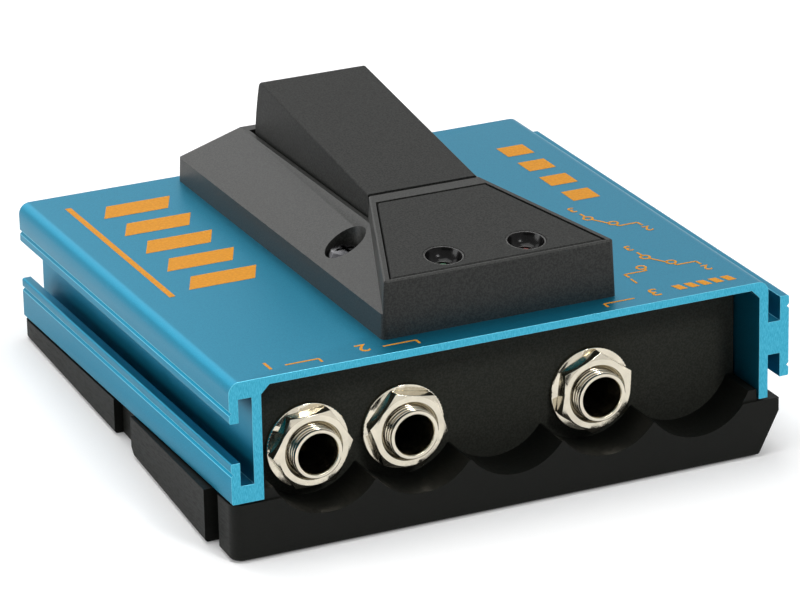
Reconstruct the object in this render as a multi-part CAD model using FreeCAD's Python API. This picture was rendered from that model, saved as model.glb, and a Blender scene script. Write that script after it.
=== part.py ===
"""Foot-operated two-way selector for audio lines, in millimetres.

The device is drawn square to its cover: X across the jacks, Y from the jack side to the
player's side, Z up. At the end every piece is tipped onto the wedge-shaped underside of
the base, so that the finished model stands on its sole.
"""
import FreeCAD, Part
import math
import os

V = FreeCAD.Vector
X_AXIS = V(1, 0, 0)
Y_AXIS = V(0, 1, 0)
Z_AXIS = V(0, 0, 1)

# Cover, an aluminium extrusion open at both ends
cover_length = 94.0
cover_width = 98.03
cover_height = 21.13
cover_wall = 1.69
cover_top = 1.34
cover_edge_radius = 2.0
cover_inner_chamfer = 1.5
end_radius = 0.35

# C-slot along the left side, and the T-rail that fits a neighbour's slot
lip_thickness = 1.64
chamber_depth = 2.33
chamber_height = 15.0
mouth_height = 6.89
slot_centre = 10.6
rail_side_clearance = 0.3
rail_web_clearance = 0.5
rail_edge_clearance = 0.26
groove_width = 0.8
groove_spread = 10.6

# Base, moulded, wedge-shaped underneath
wedge_angle = 4.0
base_end_overhang = 0.4
base_height = 9.95
base_gap = 0.35
base_right_overhang = 2.17
base_floor = 2.0
base_side_wall = 3.2
base_left_wall = 5.8
base_rib = 1.4
flange_edge = 2.35
side_lean = 3.9
front_bar = 8.5
horn_top = 12.0
cusp_height = 9.9
scallop_pitch = 17.0
scallop_radius = 10.4
scallop_centre = 16.15
foot_radius = 0.6
corner_radius = 2.0
notch_depth = 1.6
notch_spans = ((6.1, 8.9), (43.0, 51.4))
middle_block_near_stand = 1.3
middle_block_far_stand = 0.35
middle_block_foot_chamfer = 1.5

# Sole, a rubber sheet let into the underside
sole_thickness = 1.5
sole_stand = 0.3
sole_margin = 4.0
sole_clearance = 0.1

# Jacks: the base has five scallops, and three of them have a jack
jack_pitch = 17.23
jack_shift = 0.28
scallop_places = (-2, -1, 0, 1, 2)
jack_names = {-2: "left", -1: "middle", 1: "right"}
jack_height = 14.7
barrel_end = 3.3
barrel_radius = 4.5
barrel_chamfer = 0.25
socket_radius = 3.5
socket_chamfer = 0.3
panel_hole_clearance = 0.25
thread_clearance = 0.05
jack_flange_radius = 6.0
jack_flange = 1.0
barrel_tail = 3.0
jack_body_size = 14.4
jack_body_length = 19.5
jack_body_wall = 1.6
jack_tip_hole = 3.6
contact_thickness = 0.4
contact_width = 3.0
contact_tail = 3.0
nut_across_flats = 12.4
nut_thickness = 2.5
nut_face_ring = 5.15
nut_face_chamfer = 0.6
nut_turn = {-2: -3.0, -1: 11.5, 1: -24.0}
washer_radius = 7.35
washer_thickness = 0.9

# Panels that close the two ends
panel_thickness = 2.0
panel_clearance = 0.25
panel_seat = 3.9
rear_panel_recess = 1.5
rear_panel_lift = 0.23

# Pedal housing
housing_near = 5.5
housing_far_gap = 1.5
housing_far_wall = 7.9
housing_half_width = 21.4
housing_low_wall = 4.3
housing_deck = 9.9
housing_wall_draft = 0.2
housing_far_draft = 0.3
housing_far_slope = 5.1
housing_wall = 2.0
housing_far_radius = 0.8
housing_far_corner_radius = 1.3
housing_near_radius = 1.0
housing_edge_bevel = 0.25
deck_half_width = 11.4
head_rear = 34.5
head_rear_half_width = 10.25
head_front_height = 10.07
head_rear_height = 13.72
head_roof = 3.2

# Indicator plate and the two wells with their lamps
plate_thickness = 1.5
plate_inset = 1.25
plate_front = 0.8
plate_rear = 2.9
plate_gap = 0.3
plate_bevel = 0.25
well_spacing = 15.0
well_shift = -0.3
well_place = 5.1
well_radius = 3.4
well_rim = 0.25
well_depth = 2.0
well_length = 4.0
well_clearance = 0.05
lamp_radius = 1.5
lamp_length = 4.6
lamp_flange = 0.3
lamp_flange_height = 0.8
lamp_dome = 0.9
lamp_lead_radius = 0.25
lamp_lead_spread = 1.27
indicator_board_thickness = 1.0
indicator_board_half_width = 12.0
indicator_board_depth = 9.0
indicator_pad = 0.5
post_radius = 1.6
lead_hole_radius = 2.5

# Pedal and its pivot
pivot_y = 38.3
pivot_height = 3.9
pin_radius = 1.5
pin_clearance = 0.05
hinge_barrel_radius = 3.1
pedal_half_width = 10.1
pedal_side_gap = 0.5
pedal_near_height = 13.72
pedal_slope = 8.1
pedal_end_gap = 0.9
pedal_wall = 2.0
pedal_skirt = 6.1
pedal_far_radius = 1.4
pedal_edge_radius = 0.35
pedal_travel = 4.5
stop_lip = 2.3
stop_lip_height = 1.4
stop_gap = 0.1
hinge_block = 5.1

# Pedal spring on a bridge between the housing's cheeks
cheek = 1.8
cheek_foot_gap = 0.2
spring_y = 52.0
spring_mean_radius = 3.6
spring_wire = 0.8
spring_turns = 6
spring_end_gap = 0.05
spigot_radius = 2.6
spigot_height = 2.0
bridge_length = 10.0
bridge_thickness = 1.5

# Rubber bumpers under the pedal's skirts
bumper_end_gap = 8.1
bumper_length = 5.0
bumper_width = 3.4
bumper_height = 2.6

# Foot switch
switch_lever = 31.7
switch_body = 17.2
switch_body_height = 14.0
bush_radius = 6.0
bush_height = 8.0
bush_clearance = 0.1
plunger_radius = 3.0
plunger_clearance = 0.05
plunger_length = 23.2
plunger_over_travel = 0.7
plunger_touch_gap = 0.1
switch_washer_radius = 8.2
switch_washer = 0.6
switch_nut_across_flats = 14.0
switch_nut = 2.4
pedal_boss_radius = 3.5
pedal_boss_dome = 1.1
pedal_boss_drop = 1.8
terminal_pitch = 4.8
terminal_size = (2.0, 0.8, 3.6)

# Screws
screw_radius = 1.5
screw_hole_clearance = 0.1
pan_head_radius = 2.75
pan_head_height = 2.0
recess_arm = 3.4
recess_width = 0.75
recess_depth = 1.1
housing_screw_x = 15.9
housing_screw_y = 31.9
housing_bore_radius = 3.5
housing_boss_wall = 1.35
housing_head_radius = 3.0
housing_head_height = 2.2
housing_seat_height = 4.0
housing_screw_length = 8.6
hidden_nut_across_flats = 5.5
hidden_nut = 2.4
rear_screw_x = 15.5
rear_screw_margin = 14.5
rear_boss_radius = 3.0
rear_screw_length = 6.5

# Pillars between base and cover
pillar_x = 15.5
pillar_near_y = 44.0
pillar_far_margin = 8.0
pillar_across_flats = 5.0
pillar_seat = 1.5
pillar_boss_radius = 4.2
pillar_screw_length = 6.0

# Battery with its snap and foam pad
battery_width = 26.5
battery_thickness = 17.5
battery_length = 46.4
battery_far_gap = 2.5
battery_edge_radius = 1.5
battery_side_gap = 0.25
battery_bed = 10.4
snap_thickness = 3.0
snap_side = 0.6
foam_margin = 3.0
bed_near_y = 47.0
bed_far_margin = 14.0

# Circuit board
board_left_gap = 1.3
board_pillar_gap = 4.54
board_near = 40.0
board_far_gap = 4.5
board_height = 14.0
board_thickness = 1.6
board_corner = 3.2
board_boss_radius = 2.6
board_screw_radius = 1.25
board_head_radius = 2.2
board_head_height = 1.5
board_screw_length = 6.0
resistor_radius = 1.15
resistor_length = 6.3
capacitor_radius = 2.5
capacitor_height = 7.0
relay_far_margin = 13.0
relay_height = 6.0
plug_left_margin = 13.2
plug_near_margin = 5.0
plug_half = 4.6
plug_height = 3.4

# Inside leads
lead_radius = 0.6
lead_pitch = 1.2
lead_pad_y = 17.0
battery_pad_margin = 2.4

# Places worked out from the sizes above
rail_reach = lip_thickness + chamber_depth
x_left = -(cover_width + rail_reach) / 2
x_right = x_left + cover_width
inner_left = x_left + lip_thickness + chamber_depth + cover_wall
inner_right = x_right - cover_wall
base_left = x_left
base_right = x_right + base_right_overhang
base_length = cover_length + base_end_overhang
z_cover = base_height + base_gap
z_top = z_cover + cover_height
z_under = z_top - cover_top
z_slot = z_cover + slot_centre
wedge = math.tan(math.radians(wedge_angle))
panel_front = front_bar
panel_back = panel_front + panel_thickness
rear_panel_face = cover_length - rear_panel_recess
rear_panel_seat = rear_panel_face * wedge + base_floor + rear_panel_lift
housing_far = cover_length - housing_far_gap
pivot_z = z_top + pivot_height
pedal_near = pivot_y - hinge_barrel_radius
pedal_tangent = math.tan(math.radians(pedal_slope))
pedal_near_top = z_top + pedal_near_height
slot_half = pedal_half_width + pedal_side_gap
slot_far = housing_far - housing_far_wall
slope_rise = housing_deck - housing_low_wall
slope_run = housing_half_width - housing_wall_draft - deck_half_width
slope_drop = math.hypot(slope_rise, slope_run) / slope_run
lip_top = z_top + housing_deck - housing_wall * slope_drop - stop_gap
head_draft = housing_wall_draft / housing_low_wall
head_near_half_width = housing_half_width - head_front_height * head_draft
head_lean = (head_near_half_width - head_rear_half_width) / (head_rear - housing_near)
pedal_reach = slot_far - pedal_end_gap - pivot_y
head_slope = (head_rear_height - head_front_height) / (head_rear - housing_near)
switch_y = pivot_y + switch_lever
plunger_travel = switch_lever * math.radians(pedal_travel)
bumper_y = slot_far - bumper_end_gap
rear_screw_y = housing_far - rear_screw_margin
pillar_places = (pillar_near_y, cover_length - pillar_far_margin)
bed_places = (bed_near_y, cover_length - bed_far_margin)
battery_near = rear_panel_face - panel_thickness - battery_far_gap - battery_length
board_left = inner_left + board_left_gap
board_width = -pillar_x - board_pillar_gap - board_left
board_length = rear_panel_face - panel_thickness - board_far_gap - board_near
plug_x = board_left + plug_left_margin
plug_y = board_near + plug_near_margin
board_low_z = z_top + indicator_pad
board_top_z = board_low_z + indicator_board_thickness
indicator_post_x = indicator_board_half_width - post_radius - 0.6
indicator_post_y = housing_near + housing_wall + indicator_board_depth - 1.2
lead_hole_y = housing_near + housing_wall + indicator_board_depth - 0.5
bridge_top_z = z_top + cheek_foot_gap + bridge_thickness


def pedal_top(y):
    return pedal_near_top + (y - pedal_near) * pedal_tangent


spring_top_z = (pedal_top(spring_y) - pedal_wall / math.cos(math.radians(pedal_slope))
                - spring_mean_radius * pedal_tangent)
plunger_top = pedal_top(switch_y) - pedal_wall - pedal_boss_drop


def box(x0, x1, y0, y1, z0, z1):
    return Part.makeBox(x1 - x0, y1 - y0, z1 - z0, V(x0, y0, z0))


def rod(radius, start, direction, length):
    return Part.makeCylinder(radius, length, start, direction)


def across(outline, y0, y1):
    """A prism along Y from an outline of (x, z) points."""
    points = [V(x, y0, z) for x, z in outline]
    face = Part.Face(Part.makePolygon(points + points[:1]))
    return face.extrude(V(0, y1 - y0, 0))


def sideways(outline, x0, x1):
    """A prism along X from an outline of (y, z) points."""
    points = [V(x0, y, z) for y, z in outline]
    face = Part.Face(Part.makePolygon(points + points[:1]))
    return face.extrude(V(x1 - x0, 0, 0))


def upright(outline, z0, z1):
    """A prism along Z from an outline of (x, y) points."""
    points = [V(x, y, z0) for x, y in outline]
    face = Part.Face(Part.makePolygon(points + points[:1]))
    return face.extrude(V(0, 0, z1 - z0))


def turned(outline, origin, direction):
    """A turned piece from (radius, height) points, standing at origin along direction."""
    points = [V(r, 0, h) for r, h in outline]
    face = Part.Face(Part.makePolygon(points + points[:1]))
    piece = face.revolve(V(0, 0, 0), Z_AXIS, 360)
    piece.Placement = FreeCAD.Placement(origin, FreeCAD.Rotation(Z_AXIS, direction))
    return piece


def hexagon(across_flats, start, direction, length, turn=0.0):
    radius = across_flats / math.sqrt(3)
    points = [
        V(radius * math.cos(math.radians(60 * i + turn)), radius * math.sin(math.radians(60 * i + turn)), 0)
        for i in range(6)
    ]
    prism = Part.Face(Part.makePolygon(points + points[:1])).extrude(V(0, 0, length))
    prism.Placement = FreeCAD.Placement(start, FreeCAD.Rotation(Z_AXIS, direction))
    return prism


def rounded(shape, radius, wanted):
    """Fillet the edges for which wanted(edge) is true."""
    edges = [edge for edge in shape.Edges if wanted(edge)]
    return shape.makeFillet(radius, edges) if edges else shape


def bevelled(shape, size, wanted):
    """Chamfer the edges for which wanted(edge) is true."""
    edges = [edge for edge in shape.Edges if wanted(edge)]
    return shape.makeChamfer(size, edges) if edges else shape


def runs_along(edge, direction):
    """True for a straight edge that is parallel to direction."""
    if len(edge.Vertexes) != 2 or not isinstance(edge.Curve, Part.Line):
        return False
    step = edge.Vertexes[1].Point - edge.Vertexes[0].Point
    return step.cross(direction).Length < 1e-4 * step.Length


def middle(edge):
    return edge.CenterOfMass


def near(value, target, within=0.05):
    return abs(value - target) < within


def pan_screw(seat, direction, length, shank, head_radius, head_height):
    """A cross-head screw: seat is where its head rests, direction points along its shank."""
    rim = 0.25 * head_height
    head = turned(
        [(0, 0), (head_radius, 0), (head_radius, head_height - 2 * rim), (head_radius - rim, head_height - rim / 2),
         (head_radius - 3 * rim, head_height), (0, head_height)],
        seat, direction * -1)
    arms = [
        box(-recess_arm / 2, recess_arm / 2, -recess_width / 2, recess_width / 2, head_height - recess_depth,
            head_height + 1),
        box(-recess_width / 2, recess_width / 2, -recess_arm / 2, recess_arm / 2, head_height - recess_depth,
            head_height + 1),
    ]
    scale = head_radius / housing_head_radius
    for arm in arms:
        arm.scale(scale, V(0, 0, head_height))
        arm.Placement = FreeCAD.Placement(seat, FreeCAD.Rotation(Z_AXIS, direction * -1)).multiply(arm.Placement)
        head = head.cut(arm)
    return head.fuse(rod(shank, seat, direction, length)).removeSplitter()


def wire_tube(points, radius):
    """A lead through the points: straight runs joined by tangent arcs."""
    edges = []
    last = points[0]
    for before, corner, after in zip(points, points[1:], points[2:]):
        into = (corner - before).normalize()
        out = (after - corner).normalize()
        half_turn = into.getAngle(out) / 2
        bend = 0.45 * min((corner - before).Length, (after - corner).Length) / math.tan(half_turn)
        cut = bend * math.tan(half_turn)
        start = corner - into * cut
        end = corner + out * cut
        towards = (out - into).normalize()
        centre = corner + towards * (bend / math.cos(half_turn))
        halfway = centre - towards * bend
        edges.append(Part.LineSegment(last, start).toShape())
        edges.append(Part.Arc(start, halfway, end).toShape())
        last = end
    edges.append(Part.LineSegment(last, points[-1]).toShape())
    path = Part.Wire(edges)
    first = points[1] - points[0]
    section = Part.Wire([Part.Circle(points[0], first, radius).toShape()])
    return path.makePipeShell([section], True, False)


def tapered(low, high):
    """A solid with flat sides between a low and a high outline of points."""
    faces = [Part.Face(Part.makePolygon(outline + outline[:1])) for outline in (low[::-1], high)]
    for i in range(len(low)):
        after = (i + 1) % len(low)
        faces.append(Part.Face(Part.makePolygon([low[i], low[after], high[after], high[i], low[i]])))
    return Part.Solid(Part.Shell(faces))


def jack_x(place):
    return place * jack_pitch + jack_shift


def scallop_x(place):
    return place * scallop_pitch


def underside(y):
    """Height of the wedge-shaped underside of the base."""
    return y * wedge


def below_wedge(raise_by=0.0):
    """Everything under the wedge-shaped underside, raised square to it."""
    lift = raise_by / math.cos(math.radians(wedge_angle))
    reach = 2 * base_length
    return sideways(
        [(-reach, underside(-reach) + lift), (reach, underside(reach) + lift), (reach, -reach), (-reach, -reach)],
        -reach, reach)


def make_cover():
    block = box(x_left, x_right, 0, cover_length, z_cover, z_top)
    hollow = across(
        [(inner_left, z_cover - 1), (inner_right, z_cover - 1), (inner_right, z_under - cover_inner_chamfer),
         (inner_right - cover_inner_chamfer, z_under), (inner_left + cover_inner_chamfer, z_under),
         (inner_left, z_under - cover_inner_chamfer)],
        -1, cover_length + 1)
    chamber_left = x_left + lip_thickness
    chamber = box(chamber_left, chamber_left + chamber_depth, -1, cover_length + 1,
                  z_slot - chamber_height / 2, z_slot + chamber_height / 2)
    mouth = box(x_left - 1, chamber_left + 0.1, -1, cover_length + 1,
                z_slot - mouth_height / 2, z_slot + mouth_height / 2)
    web_height = mouth_height - 2 * rail_web_clearance
    web_length = lip_thickness + 2 * rail_side_clearance
    plate_height = chamber_height - 2 * rail_edge_clearance
    plate = chamber_depth - 2 * rail_side_clearance
    web = box(x_right - cover_wall / 2, x_right + web_length + plate / 2, 0, cover_length,
              z_slot - web_height / 2, z_slot + web_height / 2)
    flat = box(x_right + web_length, x_right + web_length + plate, 0, cover_length,
               z_slot - plate_height / 2, z_slot + plate_height / 2)
    shape = block.fuse([web, flat]).cut([hollow, chamber, mouth]).removeSplitter()
    rail_face = x_right + rail_reach
    groove = groove_width / 2
    cuts = []
    for side in (-1, 1):
        z = z_slot + side * groove_spread / 2
        cuts.append(across([(x_left, z - groove), (x_left + groove, z), (x_left, z + groove)], -1, cover_length + 1))
        cuts.append(across([(rail_face, z - groove), (rail_face - groove, z), (rail_face, z + groove)],
                           -1, cover_length + 1))
    shape = shape.cut(cuts)
    shape = rounded(shape, cover_edge_radius, lambda e: runs_along(e, Y_AXIS) and near(middle(e).z, z_top)
                    and (near(middle(e).x, x_left) or near(middle(e).x, x_right)))

    def is_end(edge):
        at = middle(edge)
        plate_end = near(at.x, rail_face) and near(abs(at.z - z_slot), plate_height / 2)
        lip_end = near(at.x, x_left) and (near(at.z, z_cover) or near(abs(at.z - z_slot), mouth_height / 2))
        return runs_along(edge, Y_AXIS) and (plate_end or lip_end)

    shape = rounded(shape, end_radius, is_end)
    holes = [rod(bush_radius + bush_clearance, V(0, switch_y, z_under - 1), Z_AXIS, cover_top + 2)]
    clear = screw_radius + screw_hole_clearance
    for side in (-1, 1):
        holes.append(rod(clear, V(side * housing_screw_x, housing_screw_y, z_under - 1), Z_AXIS, cover_top + 2))
        holes.append(rod(clear, V(side * rear_screw_x, rear_screw_y, z_under - 1), Z_AXIS, cover_top + 2))
        for y in pillar_places:
            holes.append(rod(clear, V(side * pillar_x, y, z_under - 1), Z_AXIS, cover_top + 2))
    holes.append(rod(lead_hole_radius, V(0, lead_hole_y, z_under - 1), Z_AXIS, cover_top + 2))
    return shape.cut(holes)


def sole_outline(gap=0.0):
    """The sole's plan, as (x, y) points."""
    left = base_left + notch_depth + sole_margin / 2 + gap
    right = base_right - side_lean - sole_margin - gap
    return [(left, sole_margin + gap), (right, sole_margin + gap),
            (right, base_length - sole_margin - gap), (left, base_length - sole_margin - gap)]


def base_screw_places():
    return [V(side * pillar_x, y, 0) for side in (-1, 1) for y in pillar_places]


def is_foot_edge(edge):
    """True for an edge that lies in the wedge-shaped underside."""
    return all(near(corner.Z, underside(corner.Y)) for corner in edge.Vertexes)


def make_base():
    flange_low = base_height - flange_edge
    low_right = base_right - side_lean * (flange_low + 1) / flange_low
    outline = [(base_left, -1), (low_right, -1), (base_right, flange_low), (base_right, base_height),
               (base_left, base_height)]
    block = across(outline, 0, base_length).cut(below_wedge())
    block = rounded(block, corner_radius, lambda e: runs_along(e, Z_AXIS) and near(middle(e).x, base_left)
                    and (near(middle(e).y, 0) or near(middle(e).y, base_length)))
    block = rounded(block, foot_radius, is_foot_edge)
    block_near = notch_spans[0][1]
    block_far = notch_spans[1][0]
    proud = upright(
        [(base_left - middle_block_near_stand, block_near), (base_left + notch_depth, block_near),
         (base_left + notch_depth, block_far), (base_left - middle_block_far_stand, block_far)],
        -1, base_height).cut(below_wedge())
    proud = bevelled(proud, middle_block_foot_chamfer, lambda e: runs_along(e, X_AXIS)
                     and near(middle(e).y, block_far) and is_foot_edge(e))
    block = block.fuse(rounded(proud, foot_radius, lambda e: is_foot_edge(e) and not near(e.BoundBox.YLength, 0)))
    for start, end in notch_spans:
        block = block.cut(box(base_left - 2, base_left + notch_depth, start, end, -1, base_height + 1))
    horn = inner_right - panel_clearance
    bar = box(-horn, horn, 0.4, front_bar, base_height - 1, horn_top)
    shape = block.fuse(bar)
    troughs = [rod(scallop_radius, V(scallop_x(i), -1, scallop_centre), Y_AXIS, front_bar + 1)
               for i in scallop_places]
    open_front = scallop_x(scallop_places[-1]) + scallop_radius * 0.75
    troughs.append(box(-open_front, open_front, -1, front_bar, cusp_height, horn_top + 1))
    shape = shape.cut(troughs)
    cavity_left = base_left + base_left_wall
    cavity_right = base_right - side_lean - base_side_wall / 2
    inner_near = panel_front
    inner_far = rear_panel_face
    cavity = box(cavity_left, cavity_right, inner_near, inner_far, -1, horn_top + 1)
    slope_low = across([(base_right - side_lean - base_side_wall, -1), (cavity_right + 1, -1),
                        (cavity_right + 1, flange_low)], inner_near, inner_far)
    cavity = cavity.cut(below_wedge(base_floor)).cut(slope_low)
    shape = shape.cut(cavity)
    floor_top = base_floor - sole_thickness / 2
    fill = []
    fill.append(box(cavity_left, cavity_right, panel_front, panel_back + base_rib, 0, panel_seat))
    fill.append(box(cavity_left + 4, cavity_right - 4, panel_back + panel_clearance,
                    panel_back + panel_clearance + base_rib, 0, panel_seat + 2))
    for at in base_screw_places():
        fill.append(rod(pillar_boss_radius, V(at.x, at.y, 0), Z_AXIS, base_height))
    for y in bed_places:
        fill.append(box(inner_right - battery_side_gap - battery_width, cavity_right, y, y + base_rib,
                        0, battery_bed))
    for at in board_holes():
        fill.append(rod(board_boss_radius, V(at.x, at.y, 0), Z_AXIS, board_height))
    shape = shape.fuse([piece.cut(below_wedge(floor_top)) for piece in fill]).removeSplitter()
    cuts = [upright(sole_outline(), -20, 20).common(below_wedge(sole_thickness - sole_stand))]
    for at in base_screw_places():
        cuts.append(rod(pan_head_radius + 0.3, V(at.x, at.y, -5), Z_AXIS, base_height - pillar_seat + 5))
        cuts.append(rod(screw_radius + screw_hole_clearance, V(at.x, at.y, -5), Z_AXIS, base_height + 10))
    for at in board_holes():
        cuts.append(rod(board_screw_radius, V(at.x, at.y, board_height - board_screw_length), Z_AXIS,
                        board_screw_length + 1))
    return shape.cut(cuts)


def make_sole():
    sheet = upright(sole_outline(sole_clearance), -20, 20)
    sheet = sheet.common(below_wedge(sole_thickness - sole_stand)).cut(below_wedge(-sole_stand))
    sheet = rounded(sheet, 2.0, lambda e: runs_along(e, Z_AXIS))
    for at in base_screw_places():
        sheet = sheet.cut(rod(pan_head_radius + 0.6, V(at.x, at.y, -10), Z_AXIS, 30))
    return sheet


def panel_outline(low):
    left = inner_left + panel_clearance
    right = inner_right - panel_clearance
    top = z_under - panel_clearance
    corner = cover_inner_chamfer + panel_clearance
    return [(left, low), (right, low), (right, top - corner), (right - corner, top),
            (left + corner, top), (left, top - corner)]


def make_jack_panel():
    panel = across(panel_outline(panel_seat), panel_front, panel_back)
    shoulder = base_left + base_left_wall + panel_clearance
    far_side = base_right - side_lean - base_side_wall / 2 - panel_clearance
    panel = panel.cut([box(x_left, shoulder, 0, panel_back + 1, 0, base_height + panel_clearance),
                       box(far_side, x_right, 0, panel_back + 1, 0, base_height + panel_clearance)])
    for place in jack_names:
        panel = panel.cut(rod(barrel_radius + panel_hole_clearance, V(jack_x(place), 0, jack_height), Y_AXIS, 20))
    return panel


def make_rear_panel():
    panel = across(panel_outline(rear_panel_seat), rear_panel_face - panel_thickness, rear_panel_face)
    shoulder = base_left + base_left_wall + panel_clearance
    far_side = base_right - side_lean - base_side_wall / 2 - panel_clearance
    return panel.cut([box(x_left, shoulder, 0, cover_length, 0, base_height + panel_clearance),
                      box(far_side, x_right, 0, cover_length, 0, base_height + panel_clearance)])


def make_bushing(place):
    tail_end = panel_back + jack_flange + barrel_tail
    length = tail_end - barrel_end
    flange_at = panel_back - barrel_end
    outline = [
        (socket_radius + socket_chamfer, 0),
        (barrel_radius - barrel_chamfer, 0),
        (barrel_radius, barrel_chamfer),
        (barrel_radius, flange_at),
        (jack_flange_radius, flange_at),
        (jack_flange_radius, flange_at + jack_flange),
        (barrel_radius, flange_at + jack_flange),
        (barrel_radius, length),
        (socket_radius, length),
        (socket_radius, socket_chamfer),
    ]
    return turned(outline, V(jack_x(place), barrel_end, jack_height), Y_AXIS)


def make_jack_body(place):
    x = jack_x(place)
    half = jack_body_size / 2
    start = panel_back + jack_flange
    end = start + jack_body_length
    body = box(x - half, x + half, start, end, jack_height - half, jack_height + half)
    body = rounded(body, 0.8, lambda e: runs_along(e, Y_AXIS))
    inner = half - jack_body_wall
    room_start = start + barrel_tail
    room_end = end - jack_body_wall
    room = box(x - inner, x + inner, room_start, room_end, jack_height - inner, jack_height + inner)
    barrel_hole = rod(barrel_radius + thread_clearance, V(x, start - 1, jack_height), Y_AXIS, barrel_tail + 2)
    tip_hole = rod(jack_tip_hole, V(x, end - 4, jack_height), Y_AXIS, 8)
    slit = box(x - contact_width / 2 - 0.1, x + contact_width / 2 + 0.1, end - 4, end + 1,
               jack_height + inner - contact_thickness - 0.2, jack_height + inner)
    return body.cut([room, barrel_hole, tip_hole, slit])


def make_contact(place):
    """A leaf that springs down onto the plug's tip, with its tail out of the back."""
    x = jack_x(place)
    end = panel_back + jack_flange + jack_body_length
    root = jack_height + jack_body_size / 2 - jack_body_wall - 0.1
    knee = jack_height + socket_radius - 0.6
    line = [(end + contact_tail, root), (end - 3.0, root), (end - 5.5, knee), (end - 7.0, knee + 1.4)]
    outline = line + [(y, z - contact_thickness) for y, z in line[::-1]]
    return sideways(outline, x - contact_width / 2, x + contact_width / 2)


def make_nut(place):
    x = jack_x(place)
    front = panel_front - washer_thickness - nut_thickness
    nut = hexagon(nut_across_flats, V(x, front, jack_height), Y_AXIS, nut_thickness, nut_turn[place])
    corner = nut_across_flats / math.sqrt(3)
    crown = turned(
        [(0, 0), (nut_across_flats / 2 - 0.1, 0), (corner + 0.05, 0.45), (corner + 0.05, nut_thickness - 0.45),
         (nut_across_flats / 2 - 0.1, nut_thickness), (0, nut_thickness)],
        V(x, front, jack_height), Y_AXIS)
    sink = turned([(0, 0), (nut_face_ring, 0), (barrel_radius, nut_face_chamfer), (0, nut_face_chamfer)],
                  V(x, front, jack_height), Y_AXIS)
    hole = rod(barrel_radius + thread_clearance, V(x, front - 1, jack_height), Y_AXIS, nut_thickness + 2)
    return nut.common(crown).cut([sink, hole])


def make_washer(place):
    x = jack_x(place)
    front = panel_front - washer_thickness
    ring = rod(washer_radius, V(x, front, jack_height), Y_AXIS, washer_thickness)
    ring = rounded(ring, 0.15, lambda e: near(e.BoundBox.YLength, 0) and near(middle(e).y, front))
    return ring.cut(rod(barrel_radius + thread_clearance, V(x, front - 1, jack_height), Y_AXIS, 5))


def head_top(y):
    return z_top + head_front_height + (y - housing_near) * head_slope


def head_block(inset, front, rear):
    """A tall block with the head's leaning sides, drawn in by inset."""
    def corner(side, y, z):
        half = head_near_half_width - (y - housing_near) * head_lean - inset * math.hypot(1, head_lean)
        return V(side * (half + (head_top(y) - z) * head_draft), y, z)

    low, high = [
        [corner(-1, front, z), corner(1, front, z), corner(1, rear, z), corner(-1, rear, z)]
        for z in (z_top, z_top + 30)
    ]
    return tapered(low, high)


def under_head_top(depth):
    """Everything lower than depth under the head's sloping top."""
    y0 = housing_near - 10
    y1 = head_rear + 10
    return sideways([(y0, head_top(y0) - depth), (y1, head_top(y1) - depth), (y1, z_top - 20), (y0, z_top - 20)],
                    -50, 50)


def low_outline(inset):
    """The long part's section: low upright walls, then slopes up to the deck."""
    drop = inset * slope_drop
    wall = housing_half_width - inset
    wall_top = z_top + housing_low_wall - drop + inset * slope_rise / slope_run
    deck = z_top + housing_deck - drop
    half = deck_half_width
    return [(-wall, z_top), (-wall + housing_wall_draft, wall_top), (-half, deck), (half, deck),
            (wall - housing_wall_draft, wall_top), (wall, z_top)]


def far_side(z):
    """How far the long part reaches at height z: an upright wall, then a slope up to the deck."""
    height = z - z_top
    if height < housing_low_wall:
        return housing_far - height * housing_far_draft / housing_low_wall
    return housing_far - housing_far_draft - (height - housing_low_wall) * housing_far_slope / slope_rise


def corner_block():
    """A tall block with the low walls' lean and the housing's four rounded upright corners."""
    low, high = [
        [V(-half, housing_near, z), V(half, housing_near, z), V(half, housing_far, z), V(-half, housing_far, z)]
        for z, half in ((z_top, housing_half_width), (z_top + 30, housing_half_width - 30 * head_draft))
    ]
    block = tapered(low, high)
    for y, radius in ((housing_near, housing_near_radius), (housing_far, housing_far_corner_radius)):
        block = rounded(block, radius, lambda e: near(middle(e).y, y) and e.BoundBox.ZLength > 1)
    return block


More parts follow.
